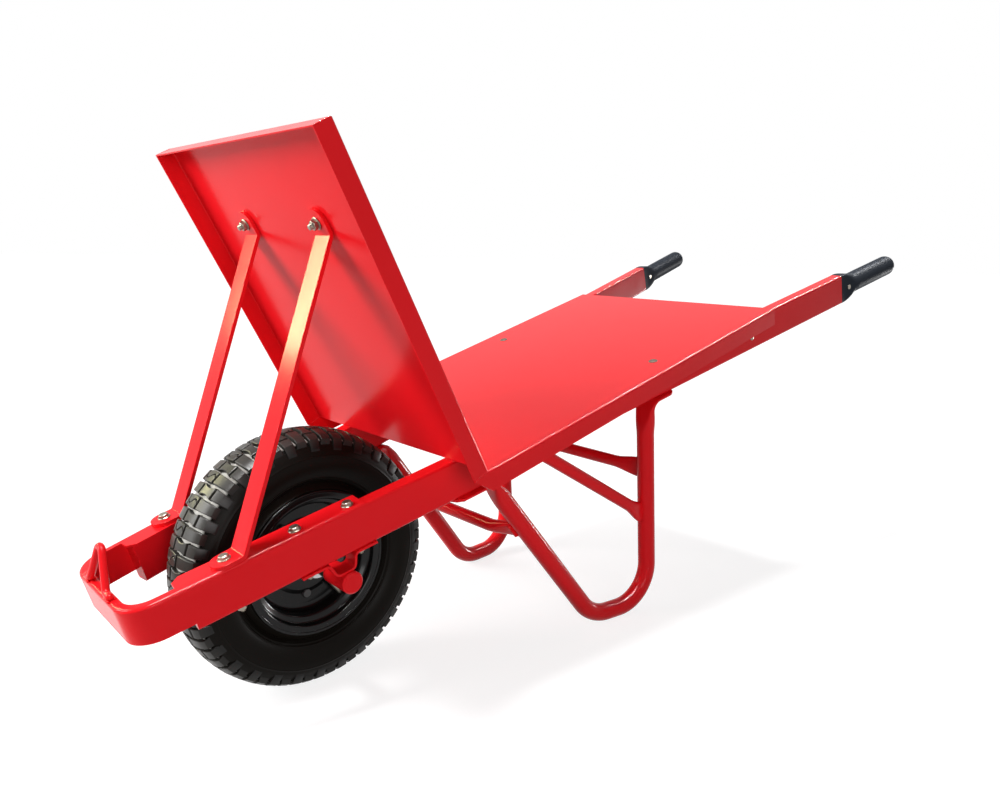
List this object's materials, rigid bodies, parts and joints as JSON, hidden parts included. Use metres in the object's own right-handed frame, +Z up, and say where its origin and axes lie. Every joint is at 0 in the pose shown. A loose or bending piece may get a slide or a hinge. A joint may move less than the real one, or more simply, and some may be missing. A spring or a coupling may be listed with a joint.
{
  "type": "brick cart",
  "caption": "One-wheeled brick barrow: sloping flat deck with a raked headboard on splayed box-tube rails, a guarded pneumatic front wheel, bent-tube legs and rubber grips.",
  "frame": {"origin": "on the ground under the middle of the cart's length and width", "axes": "+Y from the wheel to the handles, +X to the operator's left as the cart is pushed wheel first, +Z up"},
  "size_m": [0.614, 1.6372, 0.8096],
  "materials": {
    "red_paint": "gloss powder coat",
    "black_paint": "semi-gloss paint",
    "zinc": "bright zinc plate",
    "steel": "bright drawn bar",
    "tyre": "matt black rubber",
    "tube_rubber": "matt",
    "grip_rubber": "satin"
  },
  "bodies": {
    "frame": {"rail_left": "red_paint", "rail_right": "red_paint", "front_guard": "red_paint", "front_hoop": "red_paint", "deck": "red_paint", "headboard": "red_paint", "strut_left": "red_paint", "strut_right": "red_paint", "leg_left": "red_paint", "leg_right": "red_paint", "leg_brace_left": "red_paint", "leg_brace_right": "red_paint", "leg_tie_front": "red_paint", "leg_tie_rear": "red_paint", "rear_crossbar": "red_paint", "hanger_left": "red_paint", "hanger_right": "red_paint", "axle_socket_left": "red_paint", "axle_socket_right": "red_paint", "axle_spacers": "zinc", "grip_screws": "zinc", "guard_bolts": "zinc", "guard_nuts": "zinc", "strut_bolts": "zinc", "strut_nuts": "zinc", "deck_bolts": "zinc", "leg_nuts": "zinc", "brace_screws": "zinc", "crossbar_bolts": "zinc", "axle": "steel", "grip_core_left": "steel", "grip_core_right": "steel", "grip_left": "grip_rubber", "grip_right": "grip_rubber"},
    "wheel": {"tyre": "tyre", "inner_tube": "tube_rubber", "valve_stem": "zinc", "rim_half_left": "black_paint", "rim_half_right": "black_paint", "rim_bolts": "black_paint", "hub": "black_paint", "wheel_bearings": "steel"}
  },
  "joints": [
    {"name": "wheel_spin", "type": "hinge", "parent": "frame", "child": "wheel", "pos_m": [0, -0.52138, 0.2], "axis": [1, 0, 0], "continuous": true}
  ]
}
